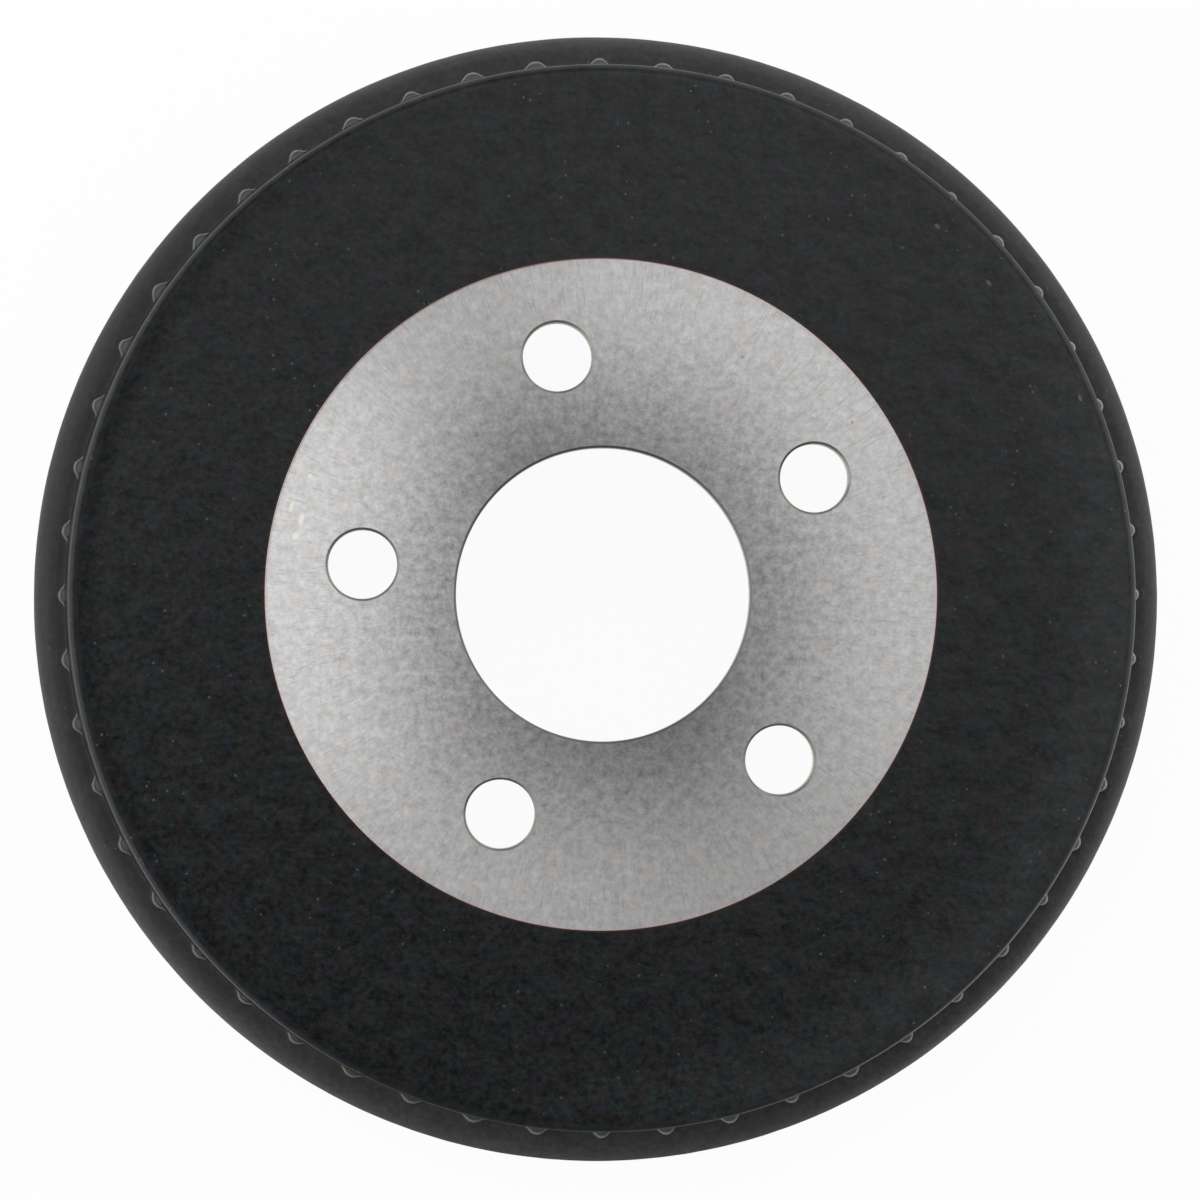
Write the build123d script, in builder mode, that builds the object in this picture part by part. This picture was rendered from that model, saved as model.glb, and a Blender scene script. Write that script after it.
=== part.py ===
"""Composite brake drum: a pressed steel web whose fluted rim is cast into a grey-iron friction ring.

The drum stands on its open end, with its axis along +Z and the mounting face up.
The origin is the centre of the open end. Sizes are in millimetres and degrees.
"""

from build123d import *

import math
import os

# Steel web
drum_height = 72.0  # open end to the painted face
web_thickness = 4.2
web_corner_radius = 3.6
web_inner_chamfer = 1.2
mounting_face_radius = 79.3
facing_cut = 0.2  # how far the turned mounting face lies under the painted face
pilot_radius = 34.7
lug_count = 5
lug_circle_radius = 57.15
lug_hole_radius = 8.15
hole_chamfer = 0.5
first_lug_angle = 100.9  # from the first flute, about the axis

# Skirt and its fluted rim
skirt_draft = 6.8
skirt_drop = 20.0  # painted face down to the ring's shoulder
rim_embedment = 5.0  # rim below the shoulder, inside the iron
flute_count = 52
flute_reach = 2.0  # how far a flute stands out from the skirt at the shoulder
flute_nose_radius = 2.6
nose_flats = 3
nose_flat_angle = 25.0  # from one flat of the nose to the next, and on to the flank
flank_sink = 0.4  # how far a flank's end lies inside the skirt
flute_rise = 1.6  # flute above the shoulder
flute_draft = 35.0

# Iron ring
friction_radius = 127.0
ring_wall = 9.8  # friction face to the ring's outside
shoulder_flat = 1.64  # level part of the shoulder, from the skirt to where it begins to round
shoulder_width = 7.0  # rounded part of the shoulder, measured across
shoulder_fall = 10.0  # and downwards
rim_cover = 3.5  # iron under the end of the rim
ledge_width = 3.4  # iron inside the rim
ledge_rise = 1.0  # how far that iron climbs the inside of the skirt above the shoulder
ledge_slope = 40.0
root_chamfer = 2.5  # where the friction face meets the ledge
mouth_chamfer = 1.5
bead_reach = 2.2  # how far the bead at the open end stands out
bead_height = 8.0
bead_chamfer = 1.0

rounding_cones = 3  # cones in the web's corner and the shoulder, which lie against each curve

shoulder_z = drum_height - skirt_drop
rim_z = shoulder_z - rim_embedment
inner_face_z = drum_height - web_thickness
ledge_z = rim_z - rim_cover
ledge_top_z = shoulder_z + ledge_rise
draft_slope = math.tan(math.radians(skirt_draft))
wall_across = web_thickness / math.cos(math.radians(skirt_draft))  # skirt's wall, measured level

# The friction face sets the ring, and the ring sets the skirt that it holds
ring_outer_radius = friction_radius + ring_wall
skirt_foot_radius = ring_outer_radius - shoulder_width - shoulder_flat


def skirt_radius(z):
    """Outer radius of the skirt at height z."""
    return skirt_foot_radius - (z - shoulder_z) * draft_slope


def rounding(outer_radius, top_z, width, fall):
    """Section corners of a turned rounding: its cones all touch one quarter ellipse."""
    reach = 1 / math.cos(math.radians(45 / (rounding_cones + 1)))
    corners = []
    for step in range(rounding_cones + 1):
        turn = math.radians(90 * (step + 0.5) / (rounding_cones + 1))
        corners.append(
            (
                outer_radius - width * (1 - reach * math.sin(turn)),
                top_z - fall * (1 - reach * math.cos(turn)),
            )
        )
    return corners


web_edge_radius = skirt_radius(drum_height - web_corner_radius)
ledge_radius = skirt_radius(rim_z) - wall_across - ledge_width
ledge_climb = (skirt_foot_radius - wall_across - ledge_radius) * math.tan(math.radians(ledge_slope))

# One flute's outline: a nose of small flats round a circle, and two flanks that run into the skirt
nose_centre = skirt_foot_radius + flute_reach - flute_nose_radius
nose_corner_radius = flute_nose_radius / math.cos(math.radians(nose_flat_angle / 2))
nose_turns = [math.radians((step - nose_flats / 2) * nose_flat_angle) for step in range(nose_flats + 1)]
nose_corners = [
    (nose_centre + nose_corner_radius * math.cos(turn), nose_corner_radius * math.sin(turn))
    for turn in nose_turns
]
nose_end_x, nose_end_y = nose_corners[-1]
flank_angle = math.radians((nose_flats + 1) / 2 * nose_flat_angle)
flank_end_x = skirt_foot_radius - flank_sink
flank_end_y = nose_end_y + (nose_end_x - flank_end_x) / math.tan(flank_angle)
flute_root_x = flank_end_x - 2 * wall_across  # clear of the wall, inside the pan's hollow
with BuildSketch() as flute:
    with BuildLine():
        Polyline(
            *nose_corners,
            (flank_end_x, flank_end_y),
            (flute_root_x, flank_end_y),
            (flute_root_x, -flank_end_y),
            (flank_end_x, -flank_end_y),
            close=True,
        )
    make_face()

with BuildPart() as steel_web:
    # The outside of the pan: a flat face, a rounded corner and a drafted skirt
    with BuildSketch(Plane.XZ):
        with BuildLine():
            Polyline(
                (pilot_radius, rim_z),
                (pilot_radius, drum_height),
                *rounding(web_edge_radius, drum_height, web_corner_radius, web_corner_radius),
                (skirt_radius(rim_z), rim_z),
                close=True,
            )
        make_face()
    revolve(axis=Axis.Z)

    # The flutes, upright inside the iron and drawn in towards their tops
    with BuildSketch(Plane.XY.offset(shoulder_z)) as fluted_rim:
        with PolarLocations(0, flute_count):
            add(flute.sketch)
    extrude(amount=-rim_embedment)
    extrude(fluted_rim.sketch, amount=flute_rise, taper=flute_draft)

    # The hollow of the pan leaves one wall of the sheet's thickness
    with BuildSketch(Plane.XZ):
        with BuildLine():
            Polyline(
                (0, rim_z),
                (0, inner_face_z),
                (skirt_radius(inner_face_z) - wall_across, inner_face_z),
                (skirt_radius(rim_z) - wall_across, rim_z),
                close=True,
            )
        make_face()
        chamfer(vertices().group_by(Axis.Y)[-1].sort_by(Axis.X)[-1], web_inner_chamfer)
    revolve(axis=Axis.Z, mode=Mode.SUBTRACT)

    # The turned mounting face, with the lug holes and the pilot bore broken at their edges
    with BuildSketch(Plane.XY.offset(drum_height)):
        Circle(mounting_face_radius)
    extrude(amount=-facing_cut, mode=Mode.SUBTRACT)
    with Locations((0, 0, drum_height)):
        with PolarLocations(lug_circle_radius, lug_count, start_angle=first_lug_angle):
            Hole(lug_hole_radius)
    turned_face = faces().filter_by(Plane.XY).filter_by(
        lambda face: abs(face.center().Z - (drum_height - facing_cut)) < facing_cut / 2
    )
    hole_edges = turned_face.edges().filter_by(GeomType.CIRCLE).filter_by(
        lambda edge: edge.radius < mounting_face_radius - hole_chamfer
    )
    chamfer(hole_edges, hole_chamfer)

with BuildPart() as iron_ring:
    # The ring's turned section, solid through the place of the rim
    with BuildSketch(Plane.XZ):
        with BuildLine():
            Polyline(
                (skirt_foot_radius - wall_across, shoulder_z),
                *rounding(ring_outer_radius, shoulder_z, shoulder_width, shoulder_fall),
                (ring_outer_radius, bead_height + bead_reach),
                (ring_outer_radius + bead_reach, bead_height),
                (ring_outer_radius + bead_reach, bead_chamfer),
                (ring_outer_radius + bead_reach - bead_chamfer, 0),
                (friction_radius + mouth_chamfer, 0),
                (friction_radius, mouth_chamfer),
                (friction_radius, ledge_z - root_chamfer),
                (friction_radius - root_chamfer, ledge_z),
                (ledge_radius, ledge_z),
                (ledge_radius, ledge_top_z),
                (skirt_foot_radius - wall_across, ledge_top_z + ledge_climb),
                close=True,
            )
        make_face()
    revolve(axis=Axis.Z)
    # The iron takes the form of the rim and its flutes
    add(steel_web.part, mode=Mode.SUBTRACT)

steel_web.part.label = "steel_web"
iron_ring.part.label = "iron_ring"
os.makedirs("parts", exist_ok=True)
export_step(steel_web.part, "parts/steel_web.step")
export_step(iron_ring.part, "parts/iron_ring.step")
print("steel web", round(steel_web.part.volume), "mm3, iron ring", round(iron_ring.part.volume), "mm3")
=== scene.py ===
import math

import bmesh
import bpy
import numpy as np
from mathutils import Matrix, Vector, geometry, noise


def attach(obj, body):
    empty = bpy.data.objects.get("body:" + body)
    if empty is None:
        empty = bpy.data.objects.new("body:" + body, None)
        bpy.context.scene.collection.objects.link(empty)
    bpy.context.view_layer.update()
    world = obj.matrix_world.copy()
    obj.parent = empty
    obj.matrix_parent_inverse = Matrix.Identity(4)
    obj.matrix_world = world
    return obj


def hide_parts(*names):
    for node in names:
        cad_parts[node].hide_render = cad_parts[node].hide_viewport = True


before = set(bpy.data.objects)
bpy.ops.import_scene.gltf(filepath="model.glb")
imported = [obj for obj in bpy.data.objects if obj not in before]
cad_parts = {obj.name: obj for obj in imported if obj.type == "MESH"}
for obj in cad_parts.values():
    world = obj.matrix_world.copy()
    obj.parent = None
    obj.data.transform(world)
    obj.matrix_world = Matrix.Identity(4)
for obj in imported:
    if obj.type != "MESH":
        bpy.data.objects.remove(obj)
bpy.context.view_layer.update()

print("frame loaded:", sorted(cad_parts))

millimetre = 0.001
fullTurn = 2 * math.pi
colourSockets = {"factor": 0, "first": 6, "second": 7, "mixed": 2}  # of a Mix node set to colours


# shader maths and nodes

class Signal:
    # one output socket of a finish; arithmetic on it adds Math nodes
    def __init__(self, finish, socket):
        self.finish = finish
        self.socket = socket

    def maths(self, operation, *values):
        return self.finish.node("ShaderNodeMath", {"operation": operation}, dict(enumerate(values)))

    def __add__(self, other):
        return self.maths("ADD", self, other)

    def __radd__(self, other):
        return self.maths("ADD", other, self)

    def __sub__(self, other):
        return self.maths("SUBTRACT", self, other)

    def __rsub__(self, other):
        return self.maths("SUBTRACT", other, self)

    def __mul__(self, other):
        return self.maths("MULTIPLY", self, other)

    def __rmul__(self, other):
        return self.maths("MULTIPLY", other, self)

    def __truediv__(self, other):
        return self.maths("DIVIDE", self, other)

    def __pow__(self, other):
        return self.maths("POWER", self, other)

    def smaller(self, other):
        return self.maths("MINIMUM", self, other)

    def larger(self, other):
        return self.maths("MAXIMUM", self, other)

    def ramp(self, low, high, base=0.0):
        # 0 below low and 1 above high, eased between them; both are counted from base,
        # and low may be the higher one
        inputs = {"Value": self, "From Min": base + low, "From Max": base + high}
        settings = {"interpolation_type": "SMOOTHSTEP"}
        return self.finish.node("ShaderNodeMapRange", settings, inputs)


class Finish:
    # the nodes of one material or world
    def __init__(self, owner):
        owner.use_nodes = True
        self.owner = owner
        self.tree = owner.node_tree
        self.tree.nodes.clear()

    def node(self, kind, settings=None, inputs=None, output=0):
        made = self.tree.nodes.new(kind)
        for name, value in (settings or {}).items():
            setattr(made, name, value)
        for name, value in (inputs or {}).items():
            if isinstance(value, Signal):
                self.tree.links.new(value.socket, made.inputs[name])
            else:
                made.inputs[name].default_value = value
        return Signal(self, made.outputs[output]) if made.outputs else made

    def blend(self, factor, first, second, mode="MIX"):
        settings = {"data_type": "RGBA", "blend_type": mode, "clamp_factor": True}
        inputs = {colourSockets["factor"]: factor}
        for name, value in (("first", first), ("second", second)):
            inputs[colourSockets[name]] = value if isinstance(value, Signal) else (*value, 1.0)
        return self.node("ShaderNodeMix", settings, inputs, colourSockets["mixed"])

    def shaded(self, colour, shade):
        # the colour, made shade times as bright
        return self.blend(1.0, colour, self.vector(shade, shade, shade), "MULTIPLY")

    def point(self):
        # place on the drum in millimetres
        place = self.node("ShaderNodeTexCoord", output="Object")
        inputs = {0: place, "Scale": 1 / millimetre}
        return self.node("ShaderNodeVectorMath", {"operation": "SCALE"}, inputs)

    def axes(self, vector):
        split = self.node("ShaderNodeSeparateXYZ", None, {0: vector})
        return [Signal(self, split.socket.node.outputs[axis]) for axis in range(3)]

    def vector(self, x, y, z):
        return self.node("ShaderNodeCombineXYZ", None, {0: x, 1: y, 2: z})

    def clouds(self, vector, size, detail, roughness=0.5):
        # soft noise about 0.5 whose patches are size millimetres across
        inputs = {"Vector": vector, "Scale": 1 / size, "Detail": detail, "Roughness": roughness}
        return self.node("ShaderNodeTexNoise", None, inputs)

    def specks(self, vector, size, share):
        # 1 inside round specks, one to each cell of the given size; share is how large they are
        distance = self.node("ShaderNodeTexVoronoi", None, {"Vector": vector, "Scale": 1 / size})
        return distance.ramp(share, share * 0.5)

    def bump(self, height, distance, strength, normal=None):
        inputs = {"Height": height, "Distance": distance * millimetre, "Strength": strength}
        if normal is not None:
            inputs["Normal"] = normal
        return self.node("ShaderNodeBump", None, inputs)

    def shader(self, **inputs):
        named = {name.replace("_", " "): value for name, value in inputs.items()}
        return self.node("ShaderNodeBsdfPrincipled", None, named)

    def layered(self, share, under, over):
        # shows the shader over where share is 1
        return self.node("ShaderNodeMixShader", None, {0: share, 1: under, 2: over})

    def surface(self, shader):
        self.node("ShaderNodeOutputMaterial", None, {"Surface": shader})
        return self.owner

    def rays(self, kind):
        # 1 for light rays of the kind
        return self.node("ShaderNodeLightPath", output=f"Is {kind} Ray")


# sizes that the meshes share with the solids

drum = {
    "height": 72.0,
    "webThickness": 4.2,
    "cornerRadius": 2.7,
    "innerCornerRadius": 1.6,
    "facingCut": 0.2,
    "faceRadius": 79.3,
    "boreRadius": 34.7,
    "lugCircleRadius": 57.15,
    "lugRadius": 8.15,
    "lugCount": 5,
    "firstLugAngle": 100.9,
    "holeChamfer": 0.5,
    "skirtDraft": 6.1,
    "shoulderHeight": 52.0,
    "rimHeight": 47.0,
    "skirtFootRadius": 128.16,
    "ringRadius": 136.8,
}
draftSlope = math.tan(math.radians(drum["skirtDraft"]))
wallAcross = drum["webThickness"] / math.cos(math.radians(drum["skirtDraft"]))


def skirtRadius(height):
    return drum["skirtFootRadius"] - (height - drum["shoulderHeight"]) * draftSlope


# turned meshes

flutes = {
    "count": 52,
    "reach": 2.38,  # out from the skirt at the shoulder
    "halfWidth": 3.2,  # along the skirt, flared ends included
    "widthSpread": 0.12,  # how much the widths differ
    "profile": (1.25, 0.8),  # powers that shape a flute across and outwards
    "collar": 0.35,  # reach between the flutes
    "top": 53.5,
    "topFall": 1.2,  # how far the top slopes down outwards
    "edge": 0.9,  # width of the rounded edge round each top
    "paintedLightOut": (0.12, 0.55),  # how far out from the skirt the painted highlight begins and is full
    "edgeBelow": (0.02, -0.35),  # heights from the top where the edge's colour begins and is full
    "drift": (0.11, 0.16, -0.05),  # degrees off even spacing: everywhere, and on the X and Y sides
    # painted highlight: the flutes' tops, and their edges more, are coloured paler than the black
    # paint
    "topColour": (0.050, 0.050, 0.048),
    "edgeColour": (0.180, 0.178, 0.169),
    "stepsEach": 18,  # mesh columns from one flute to the next
    "gather": 0.5,  # how much closer the columns stand on the flutes
    "unevenness": 0.18,  # how much the reaches differ
    "reachLean": (0.178, 0.075, -0.105),  # reach more towards +X, both X sides, rising diagonal
    "paleLean": (1.05, 0.30),  # painted highlight: how pale they are, and how much paler towards +X
    "seed": 17,
}
columns = flutes["count"] * flutes["stepsEach"]


def driftOff(even):
    # how far what lies at an even spacing has drifted round the rim, in radians
    everywhere, onX, onY = flutes["drift"]
    return np.radians(everywhere + onX * np.cos(even) + onY * np.sin(even))


evenAngles = np.arange(columns) * fullTurn / columns
gather = flutes["gather"] * np.sin(flutes["count"] * evenAngles) / flutes["count"]
columnAngles = evenAngles + driftOff(evenAngles) - gather


def fluteOutline():
    # how far the fluted rim stands out from the skirt at each column, in millimetres
    chance = np.random.default_rng(flutes["seed"])
    leanX, sides, rising = flutes["reachLean"]
    acrossPower, outwardPower = flutes["profile"]
    outline = np.zeros(columns)
    for place in range(flutes["count"]):
        even = place * fullTurn / flutes["count"]
        lean = leanX * math.cos(even) + sides * math.cos(2 * even) + rising * math.sin(2 * even)
        reach = flutes["reach"] * (1 + lean)
        reach *= 1 - flutes["unevenness"] * chance.random()
        half = flutes["halfWidth"] * (1 + flutes["widthSpread"] * chance.uniform(-1, 1))
        away = (columnAngles - even - driftOff(even) + math.pi) % fullTurn - math.pi
        across = np.clip(np.abs(away) * drum["skirtFootRadius"] / half, 0, 1)
        hump = (0.5 + 0.5 * np.cos(math.pi * across**acrossPower)) ** outwardPower
        outline = np.maximum(outline, reach * hump)
    return (outline**3 + flutes["collar"] ** 3) ** (1 / 3)  # blends the collar in smoothly


fluteReach = fluteOutline()


def turnedRow(radius, height):
    # one row of points round the axis; radius is a number or one value for each column
    radius = np.broadcast_to(radius, (columns,))
    height = np.broadcast_to(height, (columns,))
    return np.stack([radius * np.cos(columnAngles), radius * np.sin(columnAngles), height], axis=1)


def arcRows(centre, radii, first, last, count):
    # corner points of a rounding; angles from straight outwards, in degrees
    rows = []
    for turn in np.linspace(math.radians(first), math.radians(last), count):
        out, up = radii[0] * math.cos(turn), radii[1] * math.sin(turn)
        rows.append((centre[0] + out, centre[1] + up))
    return rows


def stitch(start, rows, closed=False):
    # quads between neighbouring rows, whose points follow each other from index start
    faces = []
    for row in range(rows if closed else rows - 1):
        here = start + row * columns
        there = start + (row + 1) % rows * columns
        for column in range(columns):
            after = (column + 1) % columns
            faces.append((here + column, there + column, there + after, here + after))
    return faces


def makePiece(name, points, faces, sharpAngle):
    mesh = bpy.data.meshes.new(name)
    mesh.from_pydata((np.asarray(points) * millimetre).tolist(), [], faces)
    mesh.validate()
    outward = bmesh.new()  # turns every face outwards
    outward.from_mesh(mesh)
    bmesh.ops.recalc_face_normals(outward, faces=outward.faces)
    outward.to_mesh(mesh)
    outward.free()
    mesh.shade_smooth()
    mesh.set_sharp_from_angle(angle=math.radians(sharpAngle))
    piece = bpy.data.objects.new(name, mesh)
    bpy.context.scene.collection.objects.link(piece)
    return piece


# steel web

webMesh = {
    "holeColumns": 72,
    "boreColumns": 240,
    "faceRows": 10,
    "faceMargins": (4.0, 2.0),  # from the turned face and from the corner to the nearest row
    "cornerRows": 12,
    "cornerEnd": -0.5,  # degrees below level where the corner's rounding ends
    "skirtHeights": (66.5, 64, 61, 58.5, 56.6, 55.0),
    "crownRows": 9,
    "innerRows": 7,
    "innerRadii": (116, 106, 96, 87),
    "innerDrop": 3.0,  # from the inner face down to the top row of the inner wall
    "edgeBreak": 0.15,  # step between the painted and the turned face, across
    "rimBreak": 0.5,
    "lean": (0.47, -0.41),  # how far the pressing's top is off centre from its rim
    "leanHeight": 13.0,  # height over which the lean grows, from the flutes' tops
    "leanWidth": (1.0, 30.0),  # where it begins outside the turned face, and how wide it grows
    "sharpAngle": 28.0,
}


def circlePoints(centre, radius, count):
    turns = np.arange(count) * fullTurn / count
    x, y = centre
    return [(x + radius * math.cos(turn), y + radius * math.sin(turn)) for turn in turns]


def lugCentres():
    apart = 360 / drum["lugCount"]
    turns = np.radians(drum["firstLugAngle"] + apart * np.arange(drum["lugCount"]))
    radius = drum["lugCircleRadius"]
    return [(radius * math.cos(turn), radius * math.sin(turn)) for turn in turns]


def middleOf(points):
    return sum(points, Vector((0, 0))) / len(points)


def flatFace(rim, openings):
    # triangles of a flat ring face with round openings; every loop is a list of (x, y)
    loops = [rim] + openings
    flat = [Vector(point) for loop in loops for point in loop]
    edges = []
    start = 0
    for loop in loops:
        edges += [(start + step, start + (step + 1) % len(loop)) for step in range(len(loop))]
        start += len(loop)
    insideRim, merging = 1, 1e-6
    made = geometry.delaunay_2d_cdt(flat, edges, [], insideRim, merging)
    places, triangles, origins = made[0], made[2], made[3]
    rounds = []
    for loop in openings:
        centre = middleOf([Vector(point) for point in loop])
        toFlats = math.cos(math.pi / len(loop))  # a loop's flats lie nearer than its corners
        rounds.append((centre, (Vector(loop[0]) - centre).length * toFlats))
    faces = []
    for face in triangles:
        middle = middleOf([places[corner] for corner in face])
        if all((middle - centre).length > flatsRadius for centre, flatsRadius in rounds):
            faces.append(tuple(origins[corner][0] for corner in face))
    return faces


def buildWeb():
    top = drum["height"]
    turned = top - drum["facingCut"]
    under = top - drum["webThickness"]
    face = drum["faceRadius"]
    cornerRadius = drum["cornerRadius"]
    edge = skirtRadius(top - cornerRadius)
    rim = drum["rimHeight"]
    shoulder = drum["shoulderHeight"]
    rows = [(face, turned), (face + webMesh["edgeBreak"], top)]
    fromFace, fromCorner = webMesh["faceMargins"]
    radii = np.linspace(face + fromFace, edge - cornerRadius - fromCorner, webMesh["faceRows"])
    rows += [(radius, top) for radius in radii]
    centre = (edge - cornerRadius, top - cornerRadius)
    cornerEnd, cornerRows = webMesh["cornerEnd"], webMesh["cornerRows"]
    rows += arcRows(centre, (cornerRadius, cornerRadius), 90, cornerEnd, cornerRows)
    rows += [(skirtRadius(height), height) for height in webMesh["skirtHeights"]]
    # the flutes: nearly level tops, a rounded edge, then upright inside the iron
    crown = flutes["top"]
    level = np.maximum(fluteReach - flutes["edge"], 0)
    rows.append((skirtRadius(crown + flutes["topFall"]), crown + flutes["topFall"]))
    rows.append((skirtRadius(crown) + level * 0.5, crown + flutes["topFall"] * 0.5))
    for turn in np.linspace(math.pi / 2, 0, webMesh["crownRows"]):
        height = shoulder + (crown - shoulder) * math.sin(turn)
        reach = np.maximum(fluteReach - flutes["edge"] * (1 - math.cos(turn)), 0)
        rows.append((skirtRadius(height) + reach, height))
    rimBreak = webMesh["rimBreak"]
    rows.append((skirtRadius(rim + rimBreak) + fluteReach, rim + rimBreak))
    rows.append((skirtRadius(rim) - rimBreak + fluteReach, rim))
    # the hollow side, from the rim up to the inner face
    heights = np.linspace(rim, under - webMesh["innerDrop"], webMesh["innerRows"])
    inner = [(skirtRadius(height) - wallAcross, height) for height in heights]
    rows += [(inner[0][0] + rimBreak, rim), (inner[0][0], rim + rimBreak)] + inner[1:]
    small = drum["innerCornerRadius"]
    centre = (skirtRadius(under - small) - wallAcross - small, under - small)
    rows += arcRows(centre, (small, small), 0, 90, webMesh["innerRows"])
    rows += [(radius, under) for radius in (*webMesh["innerRadii"], face)]
    points = np.concatenate([turnedRow(*row) for row in rows])
    share = np.clip((points[:, 2] - flutes["top"]) / webMesh["leanHeight"], 0, 1)
    leanStart, leanSpan = webMesh["leanWidth"]
    outside = np.hypot(points[:, 0], points[:, 1]) - face - leanStart
    share *= np.clip(outside / leanSpan, 0, 1)
    points[:, :2] += share[:, None] * np.array(webMesh["lean"])
    faces = [corners[::-1] for corners in stitch(0, len(rows))]
    pointList = points.tolist()

    def addLoop(loop, height):
        start = len(pointList)
        pointList.extend([x, y, height] for x, y in loop)
        return list(range(start, start + len(loop)))

    chamfer = drum["holeChamfer"]
    holes = [((0, 0), drum["boreRadius"], webMesh["boreColumns"])]
    holes += [(centre, drum["lugRadius"], webMesh["holeColumns"]) for centre in lugCentres()]
    topLoops = [circlePoints(centre, radius + chamfer, count) for centre, radius, count in holes]
    wallLoops = [circlePoints(centre, radius, count) for centre, radius, count in holes]
    topIndex = [addLoop(loop, turned) for loop in topLoops]
    neckIndex = [addLoop(loop, turned - chamfer) for loop in wallLoops]
    footIndex = [addLoop(loop, under) for loop in wallLoops]
    for upper, lower in list(zip(topIndex, neckIndex)) + list(zip(neckIndex, footIndex)):
        for step in range(len(upper)):
            after = (step + 1) % len(upper)
            faces.append((upper[step], upper[after], lower[after], lower[step]))
    for rimStart, loops, indexes, flip in (
        (0, topLoops, topIndex, False),
        ((len(rows) - 1) * columns, wallLoops, footIndex, True),
    ):
        rimPoints = [tuple(points[rimStart + column][:2]) for column in range(columns)]
        order = [rimStart + column for column in range(columns)]
        order += [index for loop in indexes for index in loop]
        for corners in flatFace(rimPoints, loops):
            placed = [order[corner] for corner in corners]
            faces.append(tuple(placed[::-1] if flip else placed))
    return makePiece("webPressing", pointList, faces, webMesh["sharpAngle"])


webPiece = buildWeb()
print("web meshed:", len(webPiece.data.polygons), "faces")


# iron ring

ringMesh = {
    "foot": ((-0.06, 0.30), (0.10, 0.10), (0.40, 0.0)),  # out and up from where flutes meet iron
    "crest": ((0.2, 0.75, 0.02), (0.8, 1.1, 0.08)),  # out from it, least out from flutes, down
    "shoulderWidth": 7.0,
    "shoulderFall": 10.0,
    "shoulderStart": 72.0,  # degrees above level where the shoulder's rounding begins
    "shoulderRows": 14,
    "wallRows": 12,
    "wallMargins": (2.0, 1.0),  # from the shoulder and from the bead to the nearest row
    "rimCover": 3.5,
    "ledgeWidth": 3.4,
    "ledgeRise": 1.0,
    "ledgeSlope": 40.0,
    "ledgeBreak": 0.6,
    "ledgeRound": 0.5,
    "seatDrop": 2.0,  # from the ledge's peak down to the next row of the web's seat
    "frictionRadius": 127.0,
    "frictionRows": 6,
    "frictionMargins": (5.0, 0.2),  # from the mouth and from the root to the nearest row
    "rootRadius": 2.5,
    "rootStart": 4.0,  # degrees above level where the root's rounding begins
    "rootRows": 6,
    "mouthChamfer": 1.5,
    "lipStep": 5.0,  # from the friction face out to the row on the open end
    "beadReach": 2.2,
    "beadHeight": 8.0,
    "beadChamfer": 1.0,
    "beadRound": (0.2, 0.3, 0.5),  # out at its root, in and up at its top, down its side
    "castDepth": 0.08,  # deepest hollows of the cast skin, always inwards
    "castPatches": (11.0, 3.2),  # sizes of the broad and the fine hollows
    "castShares": (0.55, 0.4),
    "castShift": (40, 7, 3),  # so that the fine hollows don't follow the broad ones
    "castRows": 3,  # rows over which the hollows grow to full depth
    "castSink": 0.6,  # how much of a hollow also goes down, on the level part of the shoulder
    "levelShare": 0.6,  # share of the shoulder's fall that counts as level
    "sharpAngle": 28.0,
}


def castHollow(x, y, height):
    # depth of the cast skin's hollows at one place, 0 to 1
    broadSize, fineSize = ringMesh["castPatches"]
    broadShare, fineShare = ringMesh["castShares"]
    broad = noise.noise(Vector((x, y, height)) / broadSize)
    fine = noise.noise(Vector((x, y, height)) / fineSize + Vector(ringMesh["castShift"]))
    return min(max(0.5 + broadShare * broad + fineShare * fine, 0), 1)


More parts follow.
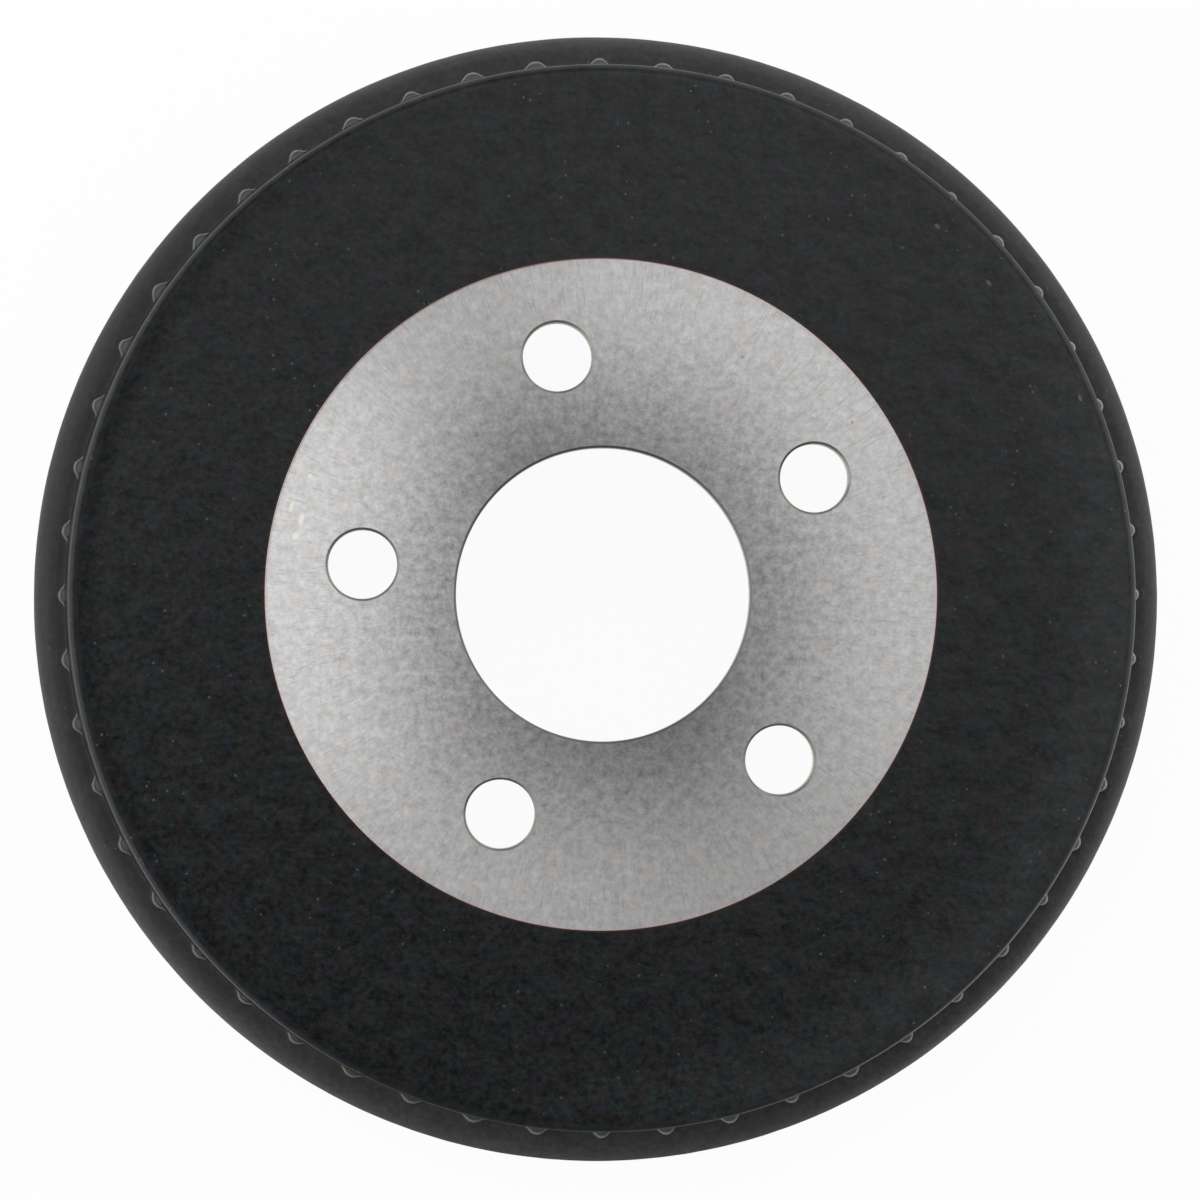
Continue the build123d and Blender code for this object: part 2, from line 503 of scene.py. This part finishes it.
def buildRing():
    shoulder = drum["shoulderHeight"]
    outer = drum["ringRadius"]
    width = ringMesh["shoulderWidth"]
    fall = ringMesh["shoulderFall"]
    bead = outer + ringMesh["beadReach"]
    beadHeight = ringMesh["beadHeight"]
    friction = ringMesh["frictionRadius"]
    rim = drum["rimHeight"]
    ledge = rim - ringMesh["rimCover"]
    root = ringMesh["rootRadius"]
    ledgeRadius = skirtRadius(rim) - wallAcross - ringMesh["ledgeWidth"]
    ledgeTop = shoulder + ringMesh["ledgeRise"]
    footRadius = drum["skirtFootRadius"]
    fluteEdge = footRadius + fluteReach
    # the seat of the fluted rim, then out over the shoulder and down the cast wall
    rows = [(skirtRadius(rim) - wallAcross, rim), (skirtRadius(rim) + fluteReach, rim)]
    rows += [(fluteEdge + out, shoulder + up) for out, up in ringMesh["foot"]]
    castStart = len(rows)
    crest = outer - width
    for out, least, down in ringMesh["crest"]:
        rows.append((np.maximum(crest + out, fluteEdge + least), shoulder - down))
    shoulderStart, shoulderRows = ringMesh["shoulderStart"], ringMesh["shoulderRows"]
    rows += arcRows((crest, shoulder - fall), (width, fall), shoulderStart, 0, shoulderRows)
    fromShoulder, fromBead = ringMesh["wallMargins"]
    beadTop = beadHeight + ringMesh["beadReach"]
    heights = np.linspace(shoulder - fall - fromShoulder, beadTop + fromBead, ringMesh["wallRows"])
    rows += [(outer, height) for height in heights]
    beadRoot, beadEdge, beadSide = ringMesh["beadRound"]
    rows += [(outer + beadRoot, beadTop), (bead - beadEdge, beadHeight + beadEdge)]
    rows += [(bead, beadHeight - beadSide)]
    castEnd = len(rows)
    # down the bead, across the open end, and up the friction face to the ledge
    chamfer = ringMesh["beadChamfer"]
    rows += [(bead, beadHeight / 2), (bead, chamfer), (bead - chamfer, 0)]
    mouth = ringMesh["mouthChamfer"]
    rows += [(friction + ringMesh["lipStep"], 0), (friction + mouth, 0), (friction, mouth)]
    fromMouth, fromRoot = ringMesh["frictionMargins"]
    heights = np.linspace(mouth + fromMouth, ledge - root - fromRoot, ringMesh["frictionRows"])
    rows += [(friction, height) for height in heights]
    centre = (friction - root, ledge - root)
    rows += arcRows(centre, (root, root), ringMesh["rootStart"], 90, ringMesh["rootRows"])
    ledgeBreak = ringMesh["ledgeBreak"]
    rows += [(ledgeRadius + ledgeBreak, ledge), (ledgeRadius, ledge + ledgeBreak)]
    rows += [(ledgeRadius, ledgeTop - ledgeBreak)]
    climb = math.tan(math.radians(ringMesh["ledgeSlope"]))
    innerFoot = footRadius - wallAcross
    peak = ledgeTop + (innerFoot - ledgeRadius) * climb
    ledgeRound = ringMesh["ledgeRound"]
    rows.append((ledgeRadius + ledgeRound, ledgeTop + ledgeRound * climb))
    heights = (peak, peak - ringMesh["seatDrop"], shoulder)
    rows += [(skirtRadius(height) - wallAcross, height) for height in heights]
    points = np.concatenate([turnedRow(*row) for row in rows])
    depth = ringMesh["castDepth"]
    levelPart = shoulder - fall * ringMesh["levelShare"]
    for row in range(castStart, castEnd):
        grown = min(1.0, (row - castStart + 1) / ringMesh["castRows"])
        for index in range(row * columns, (row + 1) * columns):
            x, y, height = points[index]
            hollow = depth * castHollow(x, y, height) * grown
            shrink = 1 - hollow / math.hypot(x, y)
            sink = ringMesh["castSink"] * hollow * (height > levelPart)
            points[index] = (x * shrink, y * shrink, height - sink)
    faces = [corners[::-1] for corners in stitch(0, len(rows), closed=True)]
    return makePiece("castRing", points.tolist(), faces, ringMesh["sharpAngle"])


ringPiece = buildRing()
print("ring meshed:", len(ringPiece.data.polygons), "faces")


# finishes

paint = {
    "colour": (0.0071, 0.0081, 0.0082),
    "blueTint": (0.0057, 0.0079, 0.0115),
    "greenTint": (0.0053, 0.0098, 0.0088),
    "redTint": (0.0097, 0.0074, 0.0080),
    "dust": (0.075, 0.077, 0.079),
    # size of the patches in millimetres, detail and roughness of each noise
    "skinClouds": (6.0, 4.0, 0.52),
    "tintClouds": (3.6, 3.0, 0.6),
    "redClouds": (3.4, 3.0, 0.6),
    "grainClouds": (1.6, 4.0, 0.7),
    "dustClouds": (9.0, 2.0),
    "aside": (31.0, 17.0, 5.0),  # shift that keeps one noise from following another
    "blueRamp": (0.50, 0.60),  # where in its noise each tint begins and is full
    "greenRamp": (0.50, 0.40),
    "redRamp": (0.50, 0.62),
    "dustRamp": (0.50, 0.62),
    "dustSpecks": (2.6, 0.15),  # size of the cells, and share of one that a speck fills
    "dustCover": 0.8,
    "dustRelief": 0.1,
    "roughness": 0.25,
    "roughSpread": 0.25,
    "specular": 0.23,
    "skinDepth": 0.22,  # relief of the paint's skin, crest to hollow
    "grain": 4.3,  # how uneven the colour is from grain to grain
    "blotches": 2.4,  # how much paler the skin's crests are
    "darkest": 0.25,  # least share of the colour that grain and blotches leave
    "cornerRoughness": 0.40,
    "cornerRamp": (-0.3, 1.0),  # where the rounded corner's roughness begins and is full
    # painted light on the black paint: paler near the edge towards one side
    "paleSide": (0.87, -0.5),
    "paleRadii": (104.0, 121.0),
    "paleRamp": (0.15, 0.95),
    "paleEven": 0.5,  # how far the painted light evens the tints out
    "paler": 1.4,  # how much paler the painted light makes the paint there
    "dullInside": (-9.0, -3.0),  # distances from the corner where the dull band begins and is full
    "dullOutside": (-0.9, -1.7),
    "dullRamp": (0.3, 1.0),
    "dullShare": 0.6,
    "dullRoughness": 0.5,
    "dullSpecular": 0.03,
    "bump": 1.0,
    "markCover": 0.8,
}
turnedSteel = {
    # painted shade: the turned steel is coloured darker near the bore than outwards
    "innerColour": (0.262, 0.262, 0.265),
    "outerColour": (0.55, 0.545, 0.545),
    "darkGrain": (0.20, 0.20, 0.205),
    "pinkStain": (0.60, 0.515, 0.455),
    "boreEdge": (0.165, 0.165, 0.150),
    "lugEdge": (0.240, 0.240, 0.215),
    "wallColour": (0.460, 0.460, 0.420),
    "rimPink": (0.62, 0.47, 0.44),
    "rimBrown": (0.030, 0.011, 0.009),
    "creamColour": (0.80, 0.77, 0.68),
    "roughness": 0.425,
    "mottleRough": 0.10,
    "cloudRough": 0.08,
    "anisotropy": 0.85,
    "grainTurn": 0.25,  # turns from the tangent, so that the shine spreads outwards
    "brighter": (-0.075, 0.075),  # painted light: how much brighter towards +X and +Y
    "edgeShift": (-0.27, 0.15),  # how far the painted edge is off centre
    "edgeRamp": (0.10, -0.10),  # distances from the edge where bare steel begins and is full
    "underRamp": (0.05, 0.15),  # heights above the inner face where the bare walls begin
    "brownRamp": (0.75, 0.10),
    "brownCover": 0.8,
    "pinkRamp": (-0.60, -0.10),
    "pinkCover": 0.5,
    "holeRamp": (-0.05, 0.12),  # distances from a hole's edge where its own colour ends
    "wallRamp": (0.03, -0.05),
    "ringsAcross": (6.0, 2.0),  # how fine the turned rings are outwards and round
    "ringsDetail": 2.0,
    "spokesAcross": (150.0, 0.22),  # how fine the radial marks are round and outwards
    "spokeClouds": (3.0, 0.6),
    "spokeRamp": (0.52, 0.74),
    "spokeCover": 0.40,
    "mottleClouds": (2.4, 3.0, 0.85),
    "stainClouds": (4.5, 4.0, 0.65),
    "outwardRadii": (32.0, 75.0),
    "outwardPower": 0.8,
    "mottle": (1.8, -0.85),  # strength at the bore, and how it changes outwards
    "stainRamp": (0.50, 0.70),
    "stain": (0.12, 0.28),
    "darkCover": 0.6,
    "creamCover": 0.8,
    "relief": (0.25, 0.5, 0.2),  # shares of the rings, the mottle and the radial marks
    "reliefDepth": 0.05,
    "bump": 0.35,
}
marks = {
    "soft": (1.6, 0.2),  # how an oval's edge fades
    # places on the drum, x and y, with each mark's half width and half length
    "creamOnSteel": (
        (-73.4, 20.7, 0.5, 1.3),
        (-71.0, 17.7, 0.6, 1.5),
        (-72.4, 13.7, 0.8, 1.0),
        (-69.0, 27.8, 0.5, 0.6),
    ),
    "darkOnSteel": ((32.9, 56.2, 0.35, 0.5), (59.0, 40.8, 0.4, 0.4)),
    "lightOnPaint": ((79.3, 87.4, 0.5, 0.8), (91.5, 74.0, 0.4, 0.9), (113.2, 46.7, 0.4, 0.9)),
}
castPaint = {
    "colour": (0.0270, 0.0268, 0.0258),
    "lightGrain": (0.0560, 0.0555, 0.0530),
    "grain": 1.8,
    "blotches": 0.6,
    "pitClouds": (0.9, 4.0, 0.7),
    "pitRamp": (0.55, 0.85),
    "pitCover": 0.5,
    "relief": (0.3, 0.15),  # shares of the paint's skin and of the pits
    "roughness": 0.55,
    "roughSpread": 0.15,
    "specular": 0.24,
    "paintedLightOutside": 0.7,  # painted light: how much paler still the outside is on the -Y side
    "outerRadii": (131.0, 136.5),
    "paintedLightAcross": (0.16, -0.18, -0.21),  # painted light: how much paler towards +X and +Y, and on both X sides
}
boredIron = {
    "colour": (0.50, 0.49, 0.48),
    "darkGrain": (0.24, 0.235, 0.23),
    "roughness": 0.45,
    "roughSpread": 0.10,
    "outside": (0.35, 0.15),  # distances from the friction face where bare iron begins and is full
    "inside": (-0.6, -0.2),
    "mouth": (-0.2, 0.2),
    "root": (1.0, 0.0),
    "helixAcross": (0.01, 4.0),  # how fine the bored helix is round and along the axis
    "helixDetail": 2.0,
    "helixRamp": (0.5, 0.9),
    "helixCover": 0.4,
    "flakeClouds": (1.1, 3.0, 0.65),
    "flakeRamp": (0.45, 0.85),
    "flakeCover": 0.6,
    "relief": (0.4, 0.2),  # shares of the helix and of the flakes
    "reliefDepth": 0.08,
    "bump": 0.6,
}


def fromCentre(x, y, centre):
    # level distance from the centre
    return ((x - centre[0]) * (x - centre[0]) + (y - centre[1]) * (y - centre[1])) ** 0.5


def paintLayer(finish, place, values):
    # colour, roughness and relief of the black paint
    skin = finish.clouds(place, *values["skinClouds"])
    patches = finish.clouds(place, *values["tintClouds"])
    inputs = {0: place, 1: values["aside"]}
    aside = finish.node("ShaderNodeVectorMath", {"operation": "ADD"}, inputs)
    redden = finish.clouds(aside, *values["redClouds"])
    grain = finish.clouds(aside, *values["grainClouds"])
    colour = finish.blend(patches.ramp(*values["blueRamp"]), values["colour"], values["blueTint"])
    colour = finish.blend(patches.ramp(*values["greenRamp"]), colour, values["greenTint"])
    colour = finish.blend(redden.ramp(*values["redRamp"]), colour, values["redTint"])
    shade = 1.0 + values["grain"] * (grain - 0.5) + values["blotches"] * (skin - 0.5)
    colour = finish.shaded(colour, shade.larger(values["darkest"]))
    dusted = finish.clouds(aside, *values["dustClouds"]).ramp(*values["dustRamp"])
    dust = finish.specks(place, *values["dustSpecks"]) * dusted
    colour = finish.blend(dust * values["dustCover"], colour, values["dust"])
    rough = values["roughness"] + values["roughSpread"] * (grain - 0.5)
    return colour, rough, skin + dust * values["dustRelief"]


def spots(finish, x, y, places):
    # 1 inside soft oval marks lying along the circle through each place
    total = 0.0
    for centreX, centreY, wide, long in places:
        turn = math.atan2(centreY, centreX)
        fromX, fromY = x - centreX, y - centreY
        outward = fromX * (math.cos(turn) / wide) + fromY * (math.sin(turn) / wide)
        along = fromY * (math.cos(turn) / long) - fromX * (math.sin(turn) / long)
        total = total + (outward * outward + along * along).ramp(*marks["soft"])
    return total


def steelLayer(finish, place, x, y, height, fromEdge):
    # colour, roughness and relief of the turned steel
    values = turnedSteel
    radius = (x * x + y * y) ** 0.5
    outX = x / radius
    outY = y / radius

    # fine rings round the axis, crossed by short radial polishing marks
    fineOut, fineRound = values["ringsAcross"]
    spun = finish.vector(radius * fineOut, outX * fineRound, outY * fineRound)
    rings = finish.clouds(spun, 1.0, values["ringsDetail"])
    fineRound, fineOut = values["spokesAcross"]
    spun = finish.vector(outX * fineRound, outY * fineRound, radius * fineOut)
    spokes = finish.clouds(spun, 1.0, *values["spokeClouds"])
    mottle = finish.clouds(place, *values["mottleClouds"])
    cloudy = finish.clouds(place, *values["stainClouds"])
    outward = radius.ramp(*values["outwardRadii"])
    share = outward ** values["outwardPower"]
    # painted shade: darker towards the bore, paler outwards
    steel = finish.blend(share, values["innerColour"], values["outerColour"])
    atBore, change = values["mottle"]
    # painted light: the steel's colour is made brighter towards +X and +Y
    brighterX, brighterY = values["brighter"]
    shade = 1.0 + (atBore + change * outward) * (mottle - 0.5)
    steel = finish.shaded(steel, shade * (1.0 + outX * brighterX + outY * brighterY))
    share = spokes.ramp(*values["spokeRamp"]) * outward * values["spokeCover"]
    steel = finish.blend(share, steel, values["darkGrain"])
    atBore, change = values["stain"]
    share = cloudy.ramp(*values["stainRamp"]) * (atBore + change * outward)
    steel = finish.blend(share, steel, values["pinkStain"])

    # stains at the painted edge, and marks
    share = fromEdge.ramp(*values["pinkRamp"]) * values["pinkCover"]
    steel = finish.blend(share, steel, values["rimPink"])
    share = spots(finish, x, y, marks["darkOnSteel"]) * values["darkCover"]
    steel = finish.blend(share, steel, values["darkGrain"])
    share = spots(finish, x, y, marks["creamOnSteel"]) * values["creamCover"]
    steel = finish.blend(share, steel, values["creamColour"])

    # the broken edges and the walls of the bore and the lug holes
    within, beyond = values["holeRamp"]
    uncut = 1.0
    for centre in lugCentres():
        edge = drum["lugRadius"] + drum["holeChamfer"]
        uncut = uncut * fromCentre(x, y, centre).ramp(within, beyond, edge)
    steel = finish.blend(uncut, values["lugEdge"], steel)
    boreEdge = drum["boreRadius"] + drum["holeChamfer"]
    steel = finish.blend(radius.ramp(beyond, within, boreEdge), steel, values["boreEdge"])
    wallTop = drum["height"] - drum["facingCut"] - drum["holeChamfer"]
    steel = finish.blend(height.ramp(*values["wallRamp"], wallTop), steel, values["wallColour"])
    uneven = values["mottleRough"] * (mottle - 0.5) + values["cloudRough"] * (cloudy - 0.5)
    ringShare, mottleShare, spokeShare = values["relief"]
    relief = rings * ringShare + mottle * mottleShare + spokes * spokeShare
    return steel, values["roughness"] + uneven, relief


def webFinish():
    finish = Finish(bpy.data.materials.new("blackPaintAndTurnedSteel"))
    place = finish.point()
    x, y, height = finish.axes(place)
    radius = (x * x + y * y) ** 0.5
    outX = x / radius
    outY = y / radius
    colour, rough, relief = paintLayer(finish, place, paint)
    share = spots(finish, x, y, marks["lightOnPaint"]) * paint["markCover"]
    colour = finish.blend(share, colour, paint["dust"])

    # the flutes' tops and edges, coloured paler as a painted highlight, and paler still towards +X
    skirt = drum["skirtFootRadius"] - (height - drum["shoulderHeight"]) * draftSlope
    fluted = (radius - skirt).ramp(*flutes["paintedLightOut"])
    evenPale, palerX = flutes["paleLean"]
    edged = height.ramp(*flutes["edgeBelow"], flutes["top"])
    flutePaintedLight = finish.blend(edged, flutes["topColour"], flutes["edgeColour"])
    colour = finish.blend(fluted, colour, finish.shaded(flutePaintedLight, evenPale + outX * palerX))

    # the rounded corner, a little rougher, and dull on the -X side just inside it
    fromAxis = fromCentre(x, y, webMesh["lean"])
    corner = skirtRadius(drum["height"] - drum["cornerRadius"])
    rounded = fromAxis.ramp(*paint["cornerRamp"], corner - drum["cornerRadius"])
    rough = rough + rounded * (paint["cornerRoughness"] - paint["roughness"])
    dull = fromAxis.ramp(*paint["dullInside"], corner)
    dull = dull * fromAxis.ramp(*paint["dullOutside"], corner)
    dull = dull * (0.0 - outX).ramp(*paint["dullRamp"]) * paint["dullShare"]

    # painted light: the paint is made paler near the edge on one side
    towardX, towardY = paint["paleSide"]
    # painted light: share of the paler side near the edge
    paintedLightShare = (outX * towardX + outY * towardY).ramp(*paint["paleRamp"])
    paintedLightShare = fromAxis.ramp(*paint["paleRadii"]) * paintedLightShare
    colour = finish.blend(paintedLightShare * paint["paleEven"], colour, paint["colour"])
    colour = finish.shaded(colour, 1.0 + paintedLightShare * paint["paler"])

    # the lathe has cut the steel inside the painted edge, and down the walls of the holes
    fromEdge = fromCentre(x, y, turnedSteel["edgeShift"]) - drum["faceRadius"]
    underside = drum["height"] - drum["webThickness"]
    bare = fromEdge.ramp(*turnedSteel["edgeRamp"])
    bare = bare * height.ramp(*turnedSteel["underRamp"], underside)
    share = fromEdge.ramp(*turnedSteel["brownRamp"]) * turnedSteel["brownCover"]
    colour = finish.blend(share, colour, turnedSteel["rimBrown"])
    steel, steelRough, steelRelief = steelLayer(finish, place, x, y, height, fromEdge)

    glossy = finish.shader(
        Base_Color=colour,
        Roughness=rough,
        Specular_IOR_Level=paint["specular"],
        Normal=finish.bump(relief, paint["skinDepth"], paint["bump"]),
    )
    matt = finish.shader(
        Base_Color=colour,
        Roughness=paint["dullRoughness"],
        Specular_IOR_Level=paint["dullSpecular"],
    )
    metal = finish.shader(
        Base_Color=steel,
        Metallic=1.0,
        Roughness=steelRough,
        Anisotropic=turnedSteel["anisotropy"],
        Anisotropic_Rotation=turnedSteel["grainTurn"],
        Normal=finish.bump(steelRelief, turnedSteel["reliefDepth"], turnedSteel["bump"]),
    )
    return finish.surface(finish.layered(bare, finish.layered(dull, glossy, matt), metal))


def ringFinish():
    finish = Finish(bpy.data.materials.new("castSkinAndBoredIron"))
    place = finish.point()
    x, y, height = finish.axes(place)
    radius = (x * x + y * y) ** 0.5
    outX = x / radius
    outY = y / radius
    skinValues = dict(paint)
    for name in ("colour", "blueTint", "greenTint", "redTint"):
        skinValues[name] = castPaint["colour"]
    for name in ("grain", "blotches"):
        skinValues[name] = castPaint[name]
    colour, _, relief = paintLayer(finish, place, skinValues)
    pitting = finish.clouds(place, *castPaint["pitClouds"])
    share = pitting.ramp(*castPaint["pitRamp"]) * castPaint["pitCover"]
    colour = finish.blend(share, colour, castPaint["lightGrain"])
    # painted light: the cast paint's brightness leans by side, and is paler still outside towards
    # -Y
    palerX, palerY, sides = castPaint["paintedLightAcross"]
    pale = 1.0 + outX * palerX + outY * palerY + (outX * outX - outY * outY) * sides
    outside = radius.ramp(*castPaint["outerRadii"])
    pale = pale + (0.0 - outY).larger(0.0) * outside * castPaint["paintedLightOutside"]
    colour = finish.shaded(colour, pale)
    rough = castPaint["roughness"] + castPaint["roughSpread"] * (pitting - 0.5)
    skinShare, pitShare = castPaint["relief"]
    relief = relief * skinShare + pitting * pitShare

    # the bored friction face, with the fine helix that boring leaves
    values = boredIron
    friction = ringMesh["frictionRadius"]
    root = drum["rimHeight"] - ringMesh["rimCover"] - ringMesh["rootRadius"]
    bored = radius.ramp(*values["outside"], friction) * radius.ramp(*values["inside"], friction)
    bored = bored * height.ramp(*values["mouth"], ringMesh["mouthChamfer"])
    bored = bored * height.ramp(*values["root"], root)
    fineRound, fineAlong = values["helixAcross"]
    wound = finish.vector(x * fineRound, y * fineRound, height * fineAlong)
    helix = finish.clouds(wound, 1.0, values["helixDetail"])
    flakes = finish.clouds(finish.vector(x, y, height * fineAlong), *values["flakeClouds"])
    share = flakes.ramp(*values["flakeRamp"]) * values["flakeCover"]
    iron = finish.blend(share, values["colour"], values["darkGrain"])
    share = helix.ramp(*values["helixRamp"]) * values["helixCover"]
    iron = finish.blend(share, iron, values["darkGrain"])
    helixShare, flakeShare = values["relief"]
    ironRelief = helix * helixShare + flakes * flakeShare

    painted = finish.shader(
        Base_Color=colour,
        Roughness=rough,
        Specular_IOR_Level=castPaint["specular"],
        Normal=finish.bump(relief, paint["skinDepth"], paint["bump"]),
    )
    metal = finish.shader(
        Base_Color=iron,
        Metallic=1.0,
        Roughness=values["roughness"] + values["roughSpread"] * (flakes - 0.5),
        Normal=finish.bump(ironRelief, values["reliefDepth"], values["bump"]),
    )
    return finish.surface(finish.layered(bored, painted, metal))


webMaterial = webFinish()
ringMaterial = ringFinish()
for piece, material, node, slot in (
    (webPiece, webMaterial, "steel_web", "painted_steel"),
    (ringPiece, ringMaterial, "iron_ring", "painted_iron"),
):
    piece.data.materials.append(material)
    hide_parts(node)
    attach(piece, "root")
    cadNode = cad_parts[node]
    cadNode.data.materials.clear()
    cadNode.data.materials.append(material)
print("finishes set")


# floor, sky and lamps

stage = {
    "floorSize": 6.0,
    "floorDrop": 0.0001,  # keeps the floor clear of the rim that stands on it
    "floorColour": (0.95, 0.95, 0.95),
    "shownWhite": 0.95,  # how much of the floor is shown as plain white
    "frontDimming": 0.75,  # how much darker the floor's front part looks in gloss
    "frontSlant": 0.8,  # how much further off that part begins to either side
    "frontRamp": (0.02, 0.15),  # metres from the axis where it begins and is full
    "skyTop": 0.61,
    "topLean": (4.0, 9.0),  # how much brighter the sky overhead is towards +X and +Y
    "topRange": (0.20, 2.20),  # dimmest and brightest of the sky overhead, as shares of skyTop
    "skyMiddle": 0.27,
    "middleLean": (0.72, -0.79),
    "skyLow": 0.30,
    "lowLean": (-0.61, 1.50),
    "lowSides": (2.70, 1.86),  # more of the low sky on both sides, and on the rising diagonal
    "leastMiddle": 0.2,  # least share of skyMiddle, and least low sky
    "leastLow": 0.1,
    "leastLevel": 0.0001,  # keeps the zenith from dividing by 0
    "middleRamp": (0.12, 0.42),  # how high the middle of the sky begins and is full
    "topRamp": (0.65, 0.95),
}
lamps = {
    # name: place in metres, width and height, power in watts
    "upperRightLamp": ((0.35, 0.66, 0.88), (1.00, 0.90), 2.1),
    "leftLamp": ((-0.75, 0.05, 0.88), (1.25, 1.10), 5.1),
}


def backdropRays(finish):
    # 1 for rays that show the backdrop: from the camera, in gloss and through glass
    shown = finish.rays("Camera") + finish.rays("Glossy") + finish.rays("Transmission")
    return shown.smaller(1.0)


def buildFloor():
    half = stage["floorSize"] / 2
    corners = ((-half, -half), (half, -half), (half, half), (-half, half))
    mesh = bpy.data.meshes.new("studioFloor")
    mesh.from_pydata([(x, y, -stage["floorDrop"]) for x, y in corners], [], [(0, 1, 2, 3)])
    floor = bpy.data.objects.new("studioFloor", mesh)
    bpy.context.scene.collection.objects.link(floor)
    finish = Finish(bpy.data.materials.new("paleFloor"))
    matt = finish.node("ShaderNodeBsdfDiffuse", None, {"Color": (*stage["floorColour"], 1.0)})
    x, y, _ = finish.axes(finish.node("ShaderNodeTexCoord", output="Object"))
    aside = (x * x) ** 0.5
    front = (0.0 - y - aside * stage["frontSlant"]).ramp(*stage["frontRamp"])
    shown = 1.0 - front * finish.rays("Glossy") * stage["frontDimming"]
    white = finish.vector(shown, shown, shown)
    glow = finish.node("ShaderNodeEmission", None, {"Color": white, "Strength": 1.0})
    finish.surface(finish.layered(backdropRays(finish) * stage["shownWhite"], matt, glow))
    mesh.materials.append(finish.owner)


def buildSky():
    world = bpy.data.worlds.new("studioSky")
    bpy.context.scene.world = world
    sky = Finish(world)
    direction = sky.node("ShaderNodeTexCoord", output="Generated")
    across, along, upward = sky.axes(direction)
    level = (across * across + along * along + stage["leastLevel"]) ** 0.5
    toX = across / level
    toY = along / level
    leanX, leanY = stage["topLean"]
    dimmest, brightest = stage["topRange"]
    top = 1.0 + across * leanX + along * leanY
    top = stage["skyTop"] * top.larger(dimmest).smaller(brightest)
    leanX, leanY = stage["middleLean"]
    middle = (1.0 + toX * leanX + toY * leanY).larger(stage["leastMiddle"])
    middle = stage["skyMiddle"] * middle
    leanX, leanY = stage["lowLean"]
    sides, diagonal = stage["lowSides"]
    low = stage["skyLow"] + toX * leanX + toY * leanY
    low = (low + toX * toX * sides + toX * toY * diagonal).larger(stage["leastLow"])
    light = low + (middle - low) * upward.ramp(*stage["middleRamp"])
    light = light + (top - middle) * upward.ramp(*stage["topRamp"])
    strength = light + (1.0 - light) * sky.rays("Camera")
    inputs = {"Color": (1, 1, 1, 1), "Strength": strength}
    background = sky.node("ShaderNodeBackground", None, inputs)
    sky.node("ShaderNodeOutputWorld", None, {"Surface": background})


def buildLamps():
    for name, (place, size, power) in lamps.items():
        light = bpy.data.lights.new(name, "AREA")
        light.shape = "ELLIPSE"
        light.size, light.size_y = size
        light.energy = power
        lamp = bpy.data.objects.new(name, light)
        lamp.location = place
        aim = Vector((0, 0, drum["height"] * millimetre)) - lamp.location
        lamp.rotation_euler = aim.to_track_quat("-Z", "Y").to_euler()
        bpy.context.scene.collection.objects.link(lamp)


buildFloor()
buildSky()
buildLamps()
print("stage lit")


# camera

camera = {
    "focalPixels": 3822.0,
    "viewPixels": 1200.0,
    "faceDistance": 900.3,
    "sideways": (-36.0, -22.0),  # how far the lens stands off the axis
    "aim": (-0.75, -1.30),  # point of the face at the middle of the view
    "sensor": 36.0,
    "nearest": 0.01,
}


def buildCamera():
    lens = bpy.data.cameras.new("studioCamera")
    lens.sensor_width = camera["sensor"]
    lens.lens = camera["focalPixels"] / camera["viewPixels"] * camera["sensor"]
    lens.clip_start = camera["nearest"]
    face = drum["height"] - drum["facingCut"]
    place = Vector((*camera["sideways"], face + camera["faceDistance"])) * millimetre
    target = Vector((*camera["aim"], face)) * millimetre
    forward = (target - place).normalized()
    right = forward.cross(Vector((0, 1, 0))).normalized()
    up = right.cross(forward)
    turned = Matrix((right, up, -forward)).transposed().to_4x4()
    viewer = bpy.data.objects.new("studioCamera", lens)
    viewer.matrix_world = Matrix.Translation(place) @ turned
    bpy.context.scene.collection.objects.link(viewer)
    bpy.context.scene.camera = viewer


buildCamera()
bpy.context.scene.view_settings.view_transform = "Standard"
print("camera placed")
